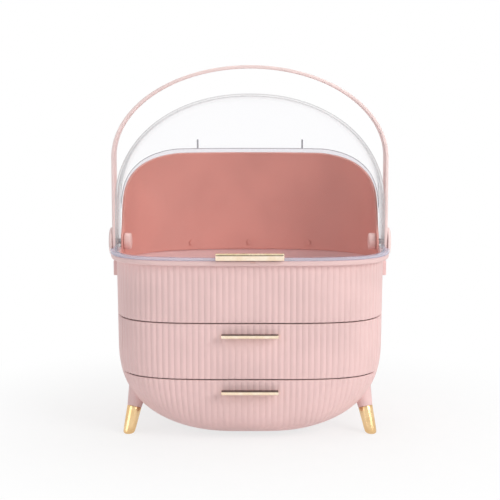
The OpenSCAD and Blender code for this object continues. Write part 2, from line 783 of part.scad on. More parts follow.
module drawer_screws(z, tray_face) color(steel) placed() pull_screw_places(z) {
    translate([0, 0, tray_face - head_gap - head_h]) cylinder(h = head_h, r = head_r);
    translate([0, 0, tray_face - head_gap - head_h])
        cylinder(h = front_depth - tray_face + head_h, r = screw_r);
    translate([0, 0, tray_face])
        cylinder(h = front_depth - tray_face + pull_grip - tip_gap, r = screw_r / 2);
}
module upper_pull() drawer_pull(upper_pull_z);
module lower_pull() drawer_pull(lower_pull_z);
module upper_pull_screws() drawer_screws(upper_pull_z, upper_inner[1] - seat - tray_t);
module lower_pull_screws() drawer_screws(lower_pull_z, lower_inner[1] - seat - tray_t);

lower_housing();
middle_shelf();
upper_runners();
lower_rails();
top_tray();
tray_screws();
back_shell();
shell_screws();
leg([-1, -1]);  // leg_front_left
leg([1, -1]);  // leg_front_right
leg([-1, 1]);  // leg_rear_left
leg([1, 1]);  // leg_rear_right
foot([-1, -1]);  // foot_front_left
foot([1, -1]);  // foot_front_right
foot([-1, 1]);  // foot_rear_left
foot([1, 1]);  // foot_rear_right
leg_screws();
pivot_pin(-1);  // pivot_pin_left
pivot_pin(1);  // pivot_pin_right
pivot_nut(-1);  // pivot_nut_left
pivot_nut(1);  // pivot_nut_right
pivot_cap(-1);  // pivot_cap_left
pivot_cap(1);  // pivot_cap_right
clear_lid();
lid_flange();
lid_pull();
lid_pull_screws();
carry_handle();
handle_washer(-1);  // handle_washer_left
handle_washer(1);  // handle_washer_right
upper_front();
upper_drawer_tray();
upper_pull();
upper_pull_screws();
lower_front();
lower_drawer_tray();
lower_pull();
lower_pull_screws();
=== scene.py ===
# %% [markdown]
# # A ribbed make-up case with a clear lid
# The case is a squared oval in plan. Two drawers and a tray are stacked in a reeded pink wall that
# turns under like a boat's hull. A clear dome tilts back over a pink back shell, and a strap handle
# swings over everything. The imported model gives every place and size; this script gives the looks.

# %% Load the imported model
import json
from math import asin, atan2, copysign, cos, pi, radians, sin, sqrt, tan

import bmesh
import bpy
from mathutils import Matrix, Vector


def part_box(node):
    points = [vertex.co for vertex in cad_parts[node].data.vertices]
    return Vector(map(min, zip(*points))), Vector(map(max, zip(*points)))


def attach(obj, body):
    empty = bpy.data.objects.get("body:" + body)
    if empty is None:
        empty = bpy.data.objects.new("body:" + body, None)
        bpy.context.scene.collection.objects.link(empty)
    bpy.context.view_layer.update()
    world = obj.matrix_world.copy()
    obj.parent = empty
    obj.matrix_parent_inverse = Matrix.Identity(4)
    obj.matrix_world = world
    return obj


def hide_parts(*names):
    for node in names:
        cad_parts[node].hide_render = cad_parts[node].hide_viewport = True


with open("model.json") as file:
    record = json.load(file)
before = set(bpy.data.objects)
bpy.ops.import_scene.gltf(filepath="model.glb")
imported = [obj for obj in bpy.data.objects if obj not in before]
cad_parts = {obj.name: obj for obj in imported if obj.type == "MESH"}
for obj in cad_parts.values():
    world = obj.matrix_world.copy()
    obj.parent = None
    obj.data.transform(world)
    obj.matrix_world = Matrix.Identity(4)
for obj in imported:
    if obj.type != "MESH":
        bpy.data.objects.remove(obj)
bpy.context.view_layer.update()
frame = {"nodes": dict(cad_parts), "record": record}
MM = 0.001

# %% [markdown]
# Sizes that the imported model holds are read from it, so a change there is followed here. Only what
# a box can't tell, such as how square the corners are, is written again as a named value.

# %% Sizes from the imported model
joints = {joint["name"]: joint for joint in frame["record"]["behaviour"]["joints"]}
AXIS_Y, AXIS_Z = joints["lid_hinge"]["pos_m"][1:]
housing_low, housing_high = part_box("lower_housing")
upper_low, upper_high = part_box("upper_front")
HALF_W, HOUSING_TOP = housing_high.x, housing_high.z
BACK, SEAM_BACK = housing_high.y - AXIS_Y, AXIS_Y - housing_low.y
FRONT, SEAM = AXIS_Y - upper_low.y, AXIS_Y - upper_high.y
LOWER_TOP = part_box("lower_front")[1].z
RIM_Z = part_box("top_tray")[1].z
print("half width", round(HALF_W, 4), "front", round(FRONT, 4), "back", round(BACK, 4))

# %% Sizes of the curves
FRONT_SQUARE, BACK_SQUARE = 4.0, 2.5  # powers of the oval in plan; a higher one is squarer
SIDE_CURVE, FRONT_CURVE = 2.68, 7.2  # powers of the belly, across and from front to back
BELLY_GAP, CURVE_H, WALL_LOW = 3.2 * MM, 94.2 * MM, 4.2 * MM
CURVE_Z = BELLY_GAP + CURVE_H
DRAW_IN, DRAW_IN_RISE = 2.0 * MM, 90 * MM
TRAY_SEAM = 1.0 * MM
TRAY_Z = HOUSING_TOP + TRAY_SEAM
RIB_PITCH, RIB_DEPTH = 6.27 * MM, 0.9 * MM
WALL = 2.6 * MM
print("the wall turns under below", round(CURVE_Z, 4))

# %% [markdown]
# ## Helpers for meshes
# A bmesh is finished the same way each time: close doubles are merged, normals are turned out, and
# edges sharper than an angle stay crisp while the rest shades smoothly.


# %% Finish a bmesh as an object
MERGE = 1e-6  # points nearer than this become one
CRISP_ANGLE = 38  # degrees


def add_object(name, data):
    holder = bpy.data.objects.new(name, data)
    bpy.context.collection.objects.link(holder)
    return holder


def cleaned(bm, recalc=True):
    """Merges close points and turns the faces outwards."""
    bmesh.ops.remove_doubles(bm, verts=bm.verts, dist=MERGE)
    if recalc:
        bmesh.ops.recalc_face_normals(bm, faces=bm.faces)


def finish_piece(name, bm, material, body, replaces, smooth=CRISP_ANGLE, recalc=True):
    """Makes a bmesh an object that rides on a body, stands for CAD nodes and has a finish."""
    cleaned(bm, recalc)
    for face in bm.faces:
        face.smooth = True
    mesh = bpy.data.meshes.new(name)
    bm.to_mesh(mesh)
    bm.free()
    mesh.set_sharp_from_angle(angle=radians(smooth))
    mesh.materials.append(material)
    piece = add_object(name, mesh)
    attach(piece, body)
    if replaces:
        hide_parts(*replaces)
    print(name, len(mesh.polygons), "faces")


# %% [markdown]
# ## Helpers for shaders
# Node trees are easier to read as sums. One class wraps a socket, so that Python's own operators
# add the Math nodes, and one method adds any other node.


# %% Shader maths on sockets
class Signal:
    def __init__(self, tree, socket):
        self.tree = tree
        self.socket = socket

    def node(self, kind, inputs=(), output=0, **settings):
        """Adds a node, with its settings first and then its sockets' values or links."""
        node = self.tree.nodes.new("ShaderNode" + kind)
        for key, value in settings.items():
            setattr(node, key, value)
        for key, value in dict(inputs).items():
            if isinstance(value, Signal):
                self.tree.links.new(value.socket, node.inputs[key])
            else:
                node.inputs[key].default_value = value
        return Signal(self.tree, node.outputs[output])

    def maths(self, operation, *values):
        return self.node("Math", dict(enumerate(values)), operation=operation)

    def __add__(self, other):
        return self.maths("ADD", self, other)

    def __sub__(self, other):
        return self.maths("SUBTRACT", self, other)

    def __mul__(self, other):
        return self.maths("MULTIPLY", self, other)

    def __rsub__(self, other):
        return self.maths("SUBTRACT", other, self)

    __radd__ = __add__
    __rmul__ = __mul__

    def between(self, low, high):
        """Runs from 0 where the signal is low to 1 where it is high, with soft ends."""
        return self.node("MapRange", {0: self, 1: low, 2: high, 3: 0.0, 4: 1.0},
                         interpolation_type="SMOOTHSTEP")

    def mixed(self, first, second):
        """Mixes two colours with this signal as the factor."""
        return self.node("Mix", {0: self, 6: first, 7: second}, output=2, data_type="RGBA")

    def noise(self, scale, detail, **more):
        """A noise that is read at this signal's place."""
        return self.node("TexNoise", {"Vector": self, "Scale": scale, "Detail": detail, **more})


# %% Start a material
def shader(name, **constants):
    """A material with constants set, its Principled node and its Object coordinates."""
    material = bpy.data.materials.new(name)
    material.use_nodes = True
    tree = material.node_tree
    principled = tree.nodes["Principled BSDF"]
    for key, value in constants.items():
        principled.inputs[key.replace("_", " ")].default_value = value
    coordinates = tree.nodes.new("ShaderNodeTexCoord")
    return material, principled, Signal(tree, coordinates.outputs["Object"])


def feed(principled, **signals):
    for key, signal in signals.items():
        signal.tree.links.new(signal.socket, principled.inputs[key.replace("_", " ")])


def rgb(red, green, blue):
    """sRGB numbers from 0 to 255 as the linear colour that nodes use."""
    shares = [v / 255 for v in (red, green, blue)]
    linear = [v / 12.92 if v <= 0.04045 else ((v + 0.055) / 1.055) ** 2.4 for v in shares]
    return (*linear, 1.0)


# %% [markdown]
# Moulded pink plastic is never one flat colour. It has a broad faint cloudiness, a very fine
# texture from the mould that breaks up the gloss, and a few faint wipe marks in the roughness.


# %% Pink plastics
CLOUD = 0.05  # how far the cloudiness takes the colour up and down


def moulded_plastic(name, color, roughness, grain=0.025 * MM):
    material, principled, place = shader(name, IOR=1.46)
    clouds = place.noise(14.0, 3.0)
    speckle = place.noise(1400.0, 2.0)
    wipes = place.noise(60.0, 5.0, Distortion=1.2)
    darker = tuple(v * (1 - CLOUD) for v in color[:3]) + (1.0,)
    lighter = tuple(min(1.0, v * (1 + CLOUD)) for v in color[:3]) + (1.0,)
    bump = place.node("Bump", {"Height": speckle, "Distance": grain, "Strength": 0.6})
    feed(principled,
         Base_Color=clouds.between(0.3, 0.7).mixed(darker, lighter),
         Roughness=roughness + (wipes - 0.5) * 0.12,
         Normal=bump)
    return material


BODY_PINK = moulded_plastic("body_pink", rgb(236, 202, 200), 0.42)
# The back shell's pink is deeper than the body's: painted shade of the shell's inside.
SHADED_SHELL_PINK = moulded_plastic("shell_pink", rgb(228, 164, 153), 0.36)
BOSS_PINK = moulded_plastic("boss_pink", rgb(246, 212, 206), 0.34)
INNER_PINK = moulded_plastic("inner_pink", rgb(230, 190, 184), 0.48)
# The strap's arch is seen edge on, where a deeper grain would look rough.
STRAP_PINK = moulded_plastic("strap_pink", rgb(245, 222, 219), 0.38, grain=0.002 * MM)
WASHER_WHITE = moulded_plastic("washer_white", rgb(232, 226, 220), 0.5)
print("plastics ready")

# %% [markdown]
# The pulls and feet are plated: bright, a little warm, with hairline scratches in the polish and a
# slightly darker tone here and there. The scratches are a noise stretched the way of polishing.


# %% Metals
SCRATCH_STRETCH = (40.0, 900.0, 900.0)


def plated_metal(name, color, dark, roughness, scratch=0.012 * MM):
    material, principled, place = shader(name, Metallic=1.0)
    stretched = place.node("Mapping", {"Vector": place, "Scale": SCRATCH_STRETCH})
    hairlines = stretched.noise(1.0, 3.0)
    tone = place.noise(90.0, 2.0)
    bump = place.node("Bump", {"Height": hairlines, "Distance": scratch, "Strength": 0.35})
    feed(principled,
         Base_Color=tone.between(0.35, 0.75).mixed(dark, color),
         Roughness=roughness + (hairlines - 0.5) * 0.1,
         Normal=bump)
    return material


def painted_dark_top_reflection(material, dark):
    """Paints the upward faces of a plated part darker, a painted dark reflection on its top."""
    tree = material.node_tree
    principled = tree.nodes["Principled BSDF"]
    plain = Signal(tree, principled.inputs["Base Color"].links[0].from_socket)
    way = tree.nodes.new("ShaderNodeTexCoord")
    up = plain.node("SeparateXYZ", {0: Signal(tree, way.outputs["Normal"])}, output=2)
    feed(principled, Base_Color=up.between(0.55, 0.9).mixed(plain, dark))


GOLD = plated_metal("gold_plate", rgb(240, 208, 160), rgb(226, 188, 136), 0.22)
PALE_GOLD = plated_metal("pale_gold", rgb(250, 238, 206), rgb(236, 220, 180), 0.18)
PULL_GOLD = plated_metal("pull_gold", rgb(255, 240, 220), rgb(250, 228, 200), 0.2)
# The pulls' upward faces get a painted dark reflection in a dark bronze.
painted_dark_top_reflection(PULL_GOLD, rgb(62, 38, 18))
STEEL = plated_metal("zinc_steel", rgb(200, 200, 204), rgb(176, 176, 182), 0.34)
print("metals ready")

# %% [markdown]
# ## The curves of the case
# Every section of the case is the same kind of squared oval, so one function gives a point of it by
# its bearing, with 0 at the front. The belly is that oval drawn in by height, and the lid's dome is
# the same oval again with its own two curves.


# %% Plan and belly
def plan_point(section, bearing, inset=0.0):
    """A point of the squared oval [half width, front, back], moved inward along its normal."""
    half, front, back = section
    s, c = sin(bearing), cos(bearing)
    power, depth = (FRONT_SQUARE, front) if c > 0 else (BACK_SQUARE, back)
    reach = ((abs(s) / half) ** power + (abs(c) / depth) ** power) ** (-1 / power)
    x, y = reach * s, -reach * c
    out = Vector((copysign((abs(x) / half) ** (power - 1) / half, x),
                  copysign((abs(y) / depth) ** (power - 1) / depth, y)))
    return Vector((x, y)) - inset * out.normalized()


def belly(z, inset=0.0):
    """The wall's section at a height. Its sides draw in a little on their way down to the curve."""
    straight = HALF_W - DRAW_IN * (1 - 0.5 * min(1.0, max(0.0, (z - CURVE_Z) / DRAW_IN_RISE)))
    drop = min(1.0, max(0.0, (CURVE_Z - z) / (CURVE_H - inset)))
    side = (1 - drop ** SIDE_CURVE) ** (1 / SIDE_CURVE)
    fore = (1 - drop ** FRONT_CURVE) ** (1 / FRONT_CURVE)
    return [(straight - inset) * side, (FRONT - inset) * fore, (BACK - inset) * fore]


def seam_bearing(section, y):
    """The bearing at which a section crosses the seam's plane, y in front of the axis."""
    half, front = section[:2]
    across = half * (1 - (y / front) ** FRONT_SQUARE) ** (1 / FRONT_SQUARE) if front > y else 0.0
    return atan2(across, y)


WHOLE = belly(CURVE_Z)
RIM_PLAN = [HALF_W, FRONT, BACK]
FRONT_HALF = seam_bearing(WHOLE, SEAM)
BACK_HALF = pi - seam_bearing(WHOLE, SEAM_BACK)


# %% Ribs along a section
RIB_POINTS = 8
MOST_SPREAD = 1.5


def lengths_along(section, middle, half, steps=90):
    """Running lengths of the plan from a middle bearing to one side."""
    points = [plan_point(section, middle + half * i / steps) for i in range(steps + 1)]
    lengths = [0.0]
    for a, b in zip(points, points[1:]):
        lengths.append(lengths[-1] + (b - a).length)
    return lengths


def bearing_at(lengths, half, length):
    """The bearing off the middle that lies a running length away."""
    for i in range(len(lengths) - 1):
        if length <= lengths[i + 1]:
            part = (length - lengths[i]) / (lengths[i + 1] - lengths[i])
            return half * (i + part) / (len(lengths) - 1)
    return half


FRONT_LENGTH = lengths_along(WHOLE, 0, FRONT_HALF)[-1]
BACK_LENGTH = lengths_along(WHOLE, pi, BACK_HALF)[-1]
FRONT_RIBS = round(2 * FRONT_LENGTH / RIB_PITCH)
BACK_RIBS = round(2 * BACK_LENGTH / RIB_PITCH)
print("ribs: front", FRONT_RIBS, "back", BACK_RIBS)


def ribbed_row(section, middle, half, ribs, full, depth, lip=0.0, end_depth=0.0):
    """One height of a reeded wall. Lower down, ribs get shallower and the outer ones narrower."""
    lengths = lengths_along(section, middle, half)
    length = lengths[-1]
    keep, shrink = min(full / length, MOST_SPREAD), min(1.0, length / full)
    count = ribs * RIB_POINTS
    row = []
    for j in range(count + 1):
        t = 2 * j / count - 1
        off = bearing_at(lengths, half, abs(length * t * (keep + (1 - keep) * t * t)))
        groove = depth * shrink * (1 - sin(pi * (j % RIB_POINTS) / RIB_POINTS))
        if j in (0, count):
            groove = end_depth
        row.append(plan_point(section, middle + copysign(off, t), groove + lip))
    return row


# %% [markdown]
# A surface is made from a flat grid whose points are then moved onto it. The rows of a wall run up
# the inside, over a rounded lip and down the outside, so its thickness is there from the start.


# %% Grid onto rows of points
def grid_through(rows):
    """A grid whose points lie on rows of 3D points, all of the same count."""
    wide, high = len(rows[0]) - 1, len(rows) - 1
    bm = bmesh.new()
    bmesh.ops.create_grid(bm, x_segments=wide, y_segments=high, size=0.5)
    for vert in bm.verts:
        vert.co = rows[round((vert.co.y + 0.5) * high)][round((vert.co.x + 0.5) * wide)]
    return bm


def at_height(points, z):
    """Plan points, measured from the hinge axis, as points in space at a height."""
    return [Vector((p.x, p.y + AXIS_Y, z)) for p in points]


def lip_rows(z, way, radius, steps=4):
    """Heights and insets round a lip, from its flat edge to the wall. way is 1 at a top edge."""
    turns = [pi / 2 * i / steps for i in range(steps + 1)]
    return [(z - way * radius * (1 - cos(a)), radius * (1 - sin(a))) for a in turns]


def close_ends(bm):
    """Closes the flat ends that a wall leaves open at the seam."""
    cleaned(bm, False)
    open_edges = [edge for edge in bm.edges if edge.is_boundary]
    caps = bmesh.ops.holes_fill(bm, edges=open_edges, sides=0)["faces"]
    bmesh.ops.triangulate(bm, faces=caps)
    return bm


def belly_heights(low, high, count):
    """Heights between two levels, closer together where the belly turns under."""
    a = asin(min(1.0, (CURVE_Z - low) / CURVE_H))
    b = asin(max(0.0, (CURVE_Z - high) / CURVE_H))
    return [CURVE_Z - CURVE_H * sin(a + (b - a) * i / count) for i in range(count)] + [high]


# %% [markdown]
# ## The reeded walls
# The drawer fronts are bows of the wall in front of the seam, and the housing is the bow behind it.
# Real reeding is cut into the mould as round ribs side by side, so the grooves are sharp and the
# crests are full. Each row therefore repeats one half wave per rib, and the rows carry it under the
# belly, where the ribs sweep together.


# %% Walls from their rows
LIP = 1.1 * MM
INSIDE_ROWS, OUTSIDE_ROWS = 16, 22
FLOOR_EXTRA = 3.5 * MM  # how much thicker a bowl is at its floor
FLOOR_SHARE = 0.8  # how much of the wall's width the floor's straight row has


def bowed_wall(low, high, thick, seam, is_front, closed_floor):
    """The wall in front of a seam or behind it, with a floor where it is a closed bowl."""
    ribs, full = (FRONT_RIBS, FRONT_LENGTH) if is_front else (BACK_RIBS, BACK_LENGTH)
    turn = 0.0 if is_front else pi

    def ring(z, inset, depth, lip):
        section = belly(z, inset)
        half = abs(turn - seam_bearing(section, seam))
        return at_height(ribbed_row(section, turn, half, ribs, full, depth, lip), z)

    def floor_line(z, inset):
        """A straight row in the seam's plane that closes the bowl at this height."""
        count = ribs * RIB_POINTS
        side = 1 if is_front else -1
        width = FLOOR_SHARE * seam * tan(seam_bearing(belly(z, inset), seam)) * side
        return [Vector(((2 * j / count - 1) * width, AXIS_Y - seam, z)) for j in range(count + 1)]

    inner_low = low + thick + (FLOOR_EXTRA if closed_floor else 0.0)
    inside = belly_heights(inner_low, high - LIP, INSIDE_ROWS)
    outside = belly_heights(low + LIP / 2, high - LIP, OUTSIDE_ROWS)
    rows = [floor_line(inner_low, thick)] if closed_floor else []
    rows += [ring(z, thick, 0.0, 0.0) for z in inside]
    rows += [ring(z, 0.0, RIB_DEPTH, inset) for z, inset in lip_rows(high, 1, LIP)]
    rows += [ring(z, 0.0, RIB_DEPTH, 0.0) for z in reversed(outside[:-1])]
    if closed_floor:
        rows += [floor_line(low, 0.0)]
    else:
        rows += [ring(z, 0.0, RIB_DEPTH, inset)
                 for z, inset in reversed(lip_rows(low, -1, LIP / 2))]
        rows += [ring(low, thick, 0.0, 0.0)]
    return close_ends(grid_through(rows))


# %% Drawer fronts and housing
FRONT_T = 3.0 * MM
finish_piece("lower_reeded_front", bowed_wall(WALL_LOW, LOWER_TOP, FRONT_T, SEAM, True, True),
             BODY_PINK, "lower_drawer", ["lower_front"])
finish_piece("upper_reeded_front",
             bowed_wall(upper_low.z, upper_high.z, FRONT_T, SEAM, True, False),
             BODY_PINK, "upper_drawer", ["upper_front"])
finish_piece("reeded_housing", bowed_wall(WALL_LOW, HOUSING_TOP, WALL, SEAM_BACK, False, True),
             BODY_PINK, "case", ["lower_housing"])

# %% [markdown]
# ## The tray section
# The tray's wall is the whole oval, reeded outside and plain inside, with a floor. Its two reeded
# stretches start at the seams of the drawers below, so that the ribs line up from top to bottom.


# %% Tray wall and floor
TRAY_ROWS, FILLET_ROWS = 8, 4


def tray_ring(z, inset, depth, lip=0.0):
    """One height of the tray: the front's ribs, then the back's, and the first point again."""
    section = belly(z, inset)
    half = seam_bearing(section, SEAM)
    front = ribbed_row(section, 0.0, half, FRONT_RIBS, FRONT_LENGTH, depth, lip, depth)
    back = ribbed_row(section, pi, pi - half, BACK_RIBS, BACK_LENGTH, depth, lip, depth)
    return at_height(front + back[1:], z)


def flat_centre(row, z):
    return [Vector((0.0, AXIS_Y, z))] * len(row)


def ribbed_lip(edge, way):
    return [tray_ring(z, 0.0, RIB_DEPTH, inset) for z, inset in lip_rows(edge, way, LIP / 2)]


tray_rows = ribbed_lip(TRAY_Z, -1)
tray_rows += [tray_ring(TRAY_Z + (RIM_Z - TRAY_Z) * i / TRAY_ROWS, 0.0, RIB_DEPTH)
              for i in range(1, TRAY_ROWS)]
tray_rows += reversed(ribbed_lip(RIM_Z, 1))
tray_rows += [tray_ring(z, WALL, 0.0) for z in (RIM_Z, (RIM_Z + TRAY_Z) / 2, TRAY_Z + 2 * WALL)]
for i in range(1, FILLET_ROWS + 1):
    turn = pi / 2 * i / FILLET_ROWS
    tray_rows.append(tray_ring(TRAY_Z + 2 * WALL - WALL * sin(turn),
                               2 * WALL - WALL * cos(turn), 0.0))
tray_rows.append(flat_centre(tray_rows[0], TRAY_Z + WALL))
tray_rows.insert(0, flat_centre(tray_rows[0], TRAY_Z))
finish_piece("reeded_tray", grid_through(tray_rows), BODY_PINK, "case", ["top_tray"])

# %% [markdown]
# A smooth ledge runs round the tray's front, where the lid's flange comes down. It could be cut
# from a larger copy of the wall. One profile with round edges that follows the plan is simpler,
# and it ends square just in front of the lugs below the hinge.


# %% Ledge
LEDGE_OUT, LEDGE_H, LEDGE_END = 4.9 * MM, 5.4 * MM, 17 * MM
LEDGE_RADII = (1.7 * MM, 1.0 * MM, 0.3 * MM, 0.3 * MM)
LEDGE_STEPS = 160


def sweep_plan(profile, start, end, steps):
    """Rows that carry a closed profile of (outward, height) points along the plan."""
    rows = []
    for out, z in profile:
        section = [v + out for v in RIM_PLAN]
        rows.append(at_height([plan_point(section, start + (end - start) * i / steps)
                               for i in range(steps + 1)], z))
    return rows + [rows[0]]


def round_profile(low, high, bottom, top, radii, steps=4):
    """(outward, height) points of a rectangle with a radius for each corner."""
    corners = [(high, bottom, -90), (high, top, 0), (low, top, 90), (low, bottom, 180)]
    points = []
    for (x, z, turn), radius in zip(corners, radii):
        cx = x - radius if x == high else x + radius
        cz = z - radius if z == top else z + radius
        for i in range(steps + 1):
            a = radians(turn + 90 * i / steps)
            points.append((cx + radius * cos(a), cz + radius * sin(a)))
    return points


ledge_turn = atan2(HALF_W + LEDGE_OUT, LEDGE_END)
ledge_profile = round_profile(-WALL / 2, LEDGE_OUT, RIM_Z - LEDGE_H, RIM_Z, LEDGE_RADII)
ledge_rows = sweep_plan(ledge_profile, -ledge_turn, ledge_turn, LEDGE_STEPS)
finish_piece("tray_ledge", close_ends(grid_through(ledge_rows)), BODY_PINK, "case", ())

# %% [markdown]
# Below each hinge a block that stops the handle is moulded onto the wall. Under the tray four
# pillars carry the section over the shelf. They flare a little where they meet the tray's floor. A
# block is a cube with bevelled edges, and a turned form is one profile spun round its axis.


# %% Blocks and turned forms
def round_off(bm, edges, radius, segments):
    bmesh.ops.bevel(bm, geom=edges, offset=radius, segments=segments, profile=0.5,
                    affect="EDGES", material=-1, clamp_overlap=True)


def rounded_block(centre, size, radius, segments=3):
    """A block with this middle and size, and all its edges rounded."""
    bm = bmesh.new()
    place = Matrix.Translation(centre) @ Matrix.Diagonal((*size, 1.0))
    bmesh.ops.create_cube(bm, size=1.0, matrix=place)
    round_off(bm, bm.edges[:], radius, segments)
    return bm


def joined(parts):
    whole = bmesh.new()
    for part in parts:
        mesh = bpy.data.meshes.new("joining")
        part.to_mesh(mesh)
        part.free()
        whole.from_mesh(mesh)
        bpy.data.meshes.remove(mesh)
    return whole


def spun(profile, centre, direction=(0, 0, 1), steps=48):
    """A turned form from (radius, along) points, along a direction from a centre."""
    bm = bmesh.new()
    verts = [bm.verts.new((r, 0, z)) for r, z in profile]
    for a, b in zip(verts, verts[1:]):
        bm.edges.new((a, b))
    bmesh.ops.spin(bm, geom=bm.verts[:] + bm.edges[:], cent=(0, 0, 0), axis=(0, 0, 1),
                   angle=2 * pi, steps=steps, use_merge=True)
    cleaned(bm)
    turn = Vector((0, 0, 1)).rotation_difference(Vector(direction)).to_matrix().to_4x4()
    bmesh.ops.transform(bm, matrix=Matrix.Translation(centre) @ turn, verts=bm.verts)
    return bm


# %% Lugs
LUG_D, LUG_H, LUG_HALF, LUG_TOP = 10 * MM, 16 * MM, 15 * MM, AXIS_Z - 19.5 * MM
LUG_ROUND = 1.0 * MM
lugs = []
for side in (-1, 1):
    middle = Vector((side * (HALF_W + LEDGE_OUT - LUG_D / 2), AXIS_Y, LUG_TOP - LUG_H / 2))
    lugs.append(rounded_block(middle, (LUG_D, 2 * LUG_HALF, LUG_H), LUG_ROUND))
finish_piece("handle_stops", joined(lugs), BODY_PINK, "case", ())

# %% Pillars
PILLAR_R, PILLAR_X, PILLAR_BORE = 5 * MM, 128 * MM, 1.55 * MM
PILLAR_EDGE, PILLAR_STRAIGHT, HEAD_R = 0.4 * MM, 50 * MM, 3 * MM
shelf_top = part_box("middle_shelf")[1].z
pillar_profile = [(PILLAR_BORE, 0), (PILLAR_R - PILLAR_EDGE, 0), (PILLAR_R, PILLAR_EDGE),
                  (PILLAR_R, PILLAR_STRAIGHT), (PILLAR_R + 0.6 * MM, 54 * MM),
                  (PILLAR_R + 2.4 * MM, TRAY_Z + 0.2 * MM - shelf_top)]
screw_low, screw_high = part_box("tray_screws")
pillar_places = [(x, y, shelf_top) for x in (-PILLAR_X, PILLAR_X)
                 for y in (screw_low.y + HEAD_R, screw_high.y - HEAD_R)]
pillars = [spun(pillar_profile, place) for place in pillar_places]
finish_piece("tray_pillars", joined(pillars), INNER_PINK, "case", (),
             recalc=False)

# %% [markdown]
# ## Legs and feet
# A leg grows out of the belly and leans out to its foot. On the real case the pink leg is moulded
# with the housing and a plated tip is pushed over it. Instead of a cone cut by a boolean, each leg
# is a tube of lines round the leaning axis, and a short search finds where each line meets the
# belly, so there is no gap and no overlap.

# %% Leg sizes
LEAN = (0.21, 0.28)  # how far a leg leans sideways, and forward or back, for each metre up
LEG_FOOT = {"front": (127.4 * MM, 80 * MM), "rear": (112 * MM, 74 * MM)}
TIP_H, TIP_R, LEG_R, FLARE_Z, FLARE_R = 27.2 * MM, 6.0 * MM, 7.6 * MM, 50 * MM, 10.6 * MM
TOE, TIP_SLIM = 3.2 * MM, 0.3 * MM
LEG_BORE, LEG_EDGE, LEG_START, LEG_REACH = 1.7 * MM, 0.5 * MM, 0.6 * MM, 40 * MM
LEG_STEPS, LEG_ROWS, TOE_ROWS, TIP_ROWS = 64, 12, 4, 6
HALVINGS = 40


def halved(low, high, is_beyond):
    """The place between two where a test first holds, found by halving."""
    for _ in range(HALVINGS):
        middle = (low + high) / 2
        low, high = (low, middle) if is_beyond(middle) else (middle, high)
    return low


def inside_belly(point, inset):
    """Whether a point lies inside the wall's section at its height."""
    section = belly(point.z, inset)
    if min(section) < MM:
        return False
    y = point.y - AXIS_Y
    power, depth = (FRONT_SQUARE, section[1]) if y < 0 else (BACK_SQUARE, section[2])
    return (abs(point.x) / section[0]) ** power + (abs(y) / depth) ** power < 1


def leg_axis(name):
    """The foot's centre on the floor, the leaning direction, and two directions across it."""
    side = -1 if "left" in name else 1
    rear = 1 if "rear" in name else -1
    out, back = LEG_FOOT[name.split("_")[0]]
    foot = Vector((side * out, AXIS_Y + rear * back, 0))
    axis = Vector((-side * LEAN[0], -rear * LEAN[1], 1)).normalized()
    across = axis.cross(Vector((0, 1, 0))).normalized()
    print("leg", name, "foot at", [round(v, 4) for v in foot])
    return foot, axis, across, axis.cross(across).normalized()


# %% One side of a leg and of its tip
def around(leg, angle, along, radius):
    """A point at an angle and a radius round a leg's axis, some way along it."""
    foot, axis, across, up = leg
    return foot + axis * along + (across * cos(angle) + up * sin(angle)) * radius


def flared(along, top, axis_z):
    """The leg's radius, which grows from the tip's top to the end of the flare."""
    part = max(0.0, (along - top) / (FLARE_Z / axis_z - top))
    return LEG_R + (FLARE_R - LEG_R) * min(part, 1.0)


def leg_side(leg, angle, top):
    """Points from the leg's hollow end up to where this side meets the belly."""
    slope = leg[1].z

    def in_wall(along):
        return inside_belly(around(leg, angle, along, flared(along, top, slope)), RIB_DEPTH)

    end = halved(top, top + LEG_REACH, in_wall)
    side = [around(leg, angle, top, LEG_BORE), around(leg, angle, top, LEG_R - LEG_EDGE),
            around(leg, angle, top + 0.25 * MM, LEG_R - 0.12 * MM)]
    for k in range(LEG_ROWS + 1):
        along = top + LEG_START + (end - top - LEG_START) * k / LEG_ROWS
        side.append(around(leg, angle, along, flared(top + (end - top) * k / LEG_ROWS, top, slope)))
    return side


def tip_side(leg, angle, top):
    """Points from the middle of the tip's sole, round its toe, to the middle of its top."""
    foot, axis = leg[:2]

    def radius_at(along):
        return TIP_R - TIP_SLIM + (LEG_R - TIP_R + TIP_SLIM) * (along + TIP_R) / (top + TIP_R)

    sole = 0.0
    for _ in range(HALVINGS // 2):
        sole -= around(leg, angle, sole, radius_at(sole)).z / axis.z
    rim = around(leg, angle, sole, radius_at(sole))
    centre = Vector((foot.x, foot.y, 0))
    inner = rim.lerp(centre, TOE / (rim - centre).length)
    side = [centre, inner]
    for k in range(1, TOE_ROWS + 1):
        turn = pi / 2 * k / TOE_ROWS
        edge = inner.lerp(rim, sin(turn))
        side.append(Vector((edge.x, edge.y, 0)) + axis * (1 - cos(turn)) * TOE)
    start = sole + TOE
    for k in range(1, TIP_ROWS + 1):
        along = start + (top - LEG_EDGE - start) * k / TIP_ROWS
        side.append(around(leg, angle, along, radius_at(along)))
    return side + [around(leg, angle, top - 0.15 * MM, LEG_R - 0.15 * MM),
                   around(leg, angle, top, LEG_R - LEG_EDGE), around(leg, angle, top, 0.0)]


# %% Four legs with their tips
for name in ("front_left", "front_right", "rear_left", "rear_right"):
    leg = leg_axis(name)
    top = TIP_H / leg[1].z
    angles = [2 * pi * i / LEG_STEPS for i in range(LEG_STEPS + 1)]
    finish_piece("moulded_leg_" + name, grid_through([leg_side(leg, a, top) for a in angles]),
                 BODY_PINK, "case", ["leg_" + name])
    finish_piece("plated_foot_" + name, grid_through([tip_side(leg, a, top) for a in angles]),
                 GOLD, "case", ["foot_" + name])

# %% [markdown]
# ## The dome
# The clear lid and the pink back shell are two parts of one dome. In the side view a curve parts
# them: it climbs back from the hinge, then runs level round the back. For each bearing the same
# short search finds where that curve cuts the dome, and the rows run evenly from there.

